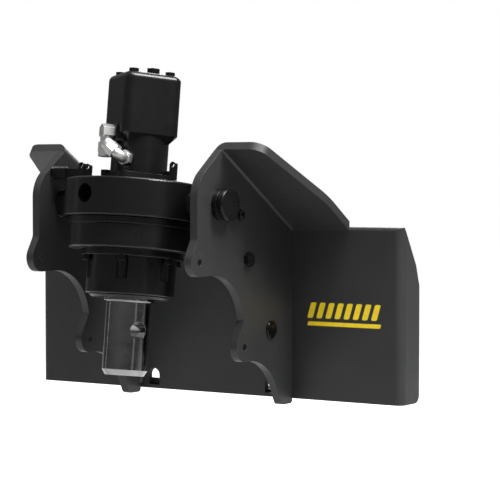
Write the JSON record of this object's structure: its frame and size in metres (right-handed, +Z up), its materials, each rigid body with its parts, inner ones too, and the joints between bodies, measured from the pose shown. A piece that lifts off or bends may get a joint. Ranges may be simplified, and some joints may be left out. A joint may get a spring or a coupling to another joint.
{
  "type": "hydraulic auger drive in a mounting frame",
  "caption": "Hydraulic earth-auger drive hung on two side pins in a flared loader mounting frame; round output shaft points down.",
  "frame": {"origin": "middle of the mount plate's width on its rear face, 125 mm above its bottom edge", "axes": "+X right, +Y toward the loader, +Z up"},
  "size_m": [0.655, 0.346, 0.4885],
  "materials": {
    "frame_coat": "satin powder coat",
    "drive_coat": "gloss paint",
    "steel": "turned",
    "inner_steel": "machined",
    "zinc": "zinc plated",
    "fastener": "gloss black",
    "plastic_cap": "semi-matt"
  },
  "bodies": {
    "frame": {"hook_bar": "frame_coat", "left_cap": "plastic_cap", "left_keeper_plate": "fastener", "left_keeper_screw": "fastener", "left_side_bar": "drive_coat", "left_side_bolt": "fastener", "left_side_nut": "fastener", "left_side_plate": "frame_coat", "left_swing_bush": "inner_steel", "left_swing_pin": "fastener", "lock_ledge": "frame_coat", "mount_plate": "frame_coat", "right_cap": "plastic_cap", "right_keeper_plate": "fastener", "right_keeper_screw": "fastener", "right_side_bolt": "fastener", "right_side_nut": "fastener", "right_side_plate": "frame_coat", "right_swing_bush": "inner_steel", "right_swing_pin": "fastener"},
    "drive": {"case_ring": "drive_coat", "drain_plug": "fastener", "flange_bolt_1": "fastener", "flange_bolt_2": "fastener", "flange_bolt_3": "fastener", "flange_bolt_4": "fastener", "gear_case": "drive_coat", "hub": "drive_coat", "left_front_lug": "drive_coat", "left_rear_lug": "drive_coat", "lower_bearing": "inner_steel", "lower_elbow": "zinc", "motor_bolt_1": "fastener", "motor_bolt_2": "fastener", "motor_bolt_3": "fastener", "motor_bolt_4": "fastener", "motor_flange": "drive_coat", "motor_housing": "drive_coat", "right_front_lug": "drive_coat", "ring_gear": "inner_steel", "seal_retainer": "drive_coat", "snout": "drive_coat", "snout_bolt_1": "fastener", "snout_bolt_2": "fastener", "snout_bolt_3": "fastener", "snout_bolt_4": "fastener", "snout_bolt_5": "fastener", "snout_bolt_6": "fastener", "upper_bearing": "inner_steel", "upper_elbow": "zinc"},
    "output": {"output_shaft": "steel", "planet_carrier": "inner_steel", "planet_pin_1": "inner_steel", "planet_pin_2": "inner_steel", "planet_pin_3": "inner_steel"},
    "sun": {"sun_gear": "inner_steel", "motor_shaft": "inner_steel"},
    "planet_1": {"planet_gear_1": "inner_steel"},
    "planet_2": {"planet_gear_2": "inner_steel"},
    "planet_3": {"planet_gear_3": "inner_steel"}
  },
  "joints": [
    {"name": "drive_swing", "type": "hinge", "parent": "frame", "child": "drive", "pos_m": [0, -0.2, 0.1625], "axis": [1, 0, 0], "range_deg": [-60, 45]},
    {"name": "output_spin", "type": "hinge", "parent": "drive", "child": "output", "pos_m": [0, -0.21828, 0.01362], "axis": [0, 0.1219, 0.9925], "continuous": true},
    {"name": "sun_spin", "type": "hinge", "parent": "drive", "child": "sun", "pos_m": [0, -0.2, 0.1625], "axis": [0, 0.1219, 0.9925], "continuous": true},
    {"name": "planet_1_spin", "type": "hinge", "parent": "output", "child": "planet_1", "pos_m": [0, -0.15649, 0.11686], "axis": [0, 0.1219, 0.9925], "continuous": true},
    {"name": "planet_2_spin", "type": "hinge", "parent": "output", "child": "planet_2", "pos_m": [-0.04222, -0.22907, 0.12577], "axis": [0, 0.1219, 0.9925], "continuous": true},
    {"name": "planet_3_spin", "type": "hinge", "parent": "output", "child": "planet_3", "pos_m": [0.04222, -0.22907, 0.12577], "axis": [0, 0.1219, 0.9925], "continuous": true}
  ],
  "couplings": [
    {"joint": "sun_spin", "follows": "output_spin", "ratio": 4.3333},
    {"joint": "planet_1_spin", "follows": "output_spin", "ratio": -2.8571},
    {"joint": "planet_2_spin", "follows": "output_spin", "ratio": -2.8571},
    {"joint": "planet_3_spin", "follows": "output_spin", "ratio": -2.8571}
  ]
}
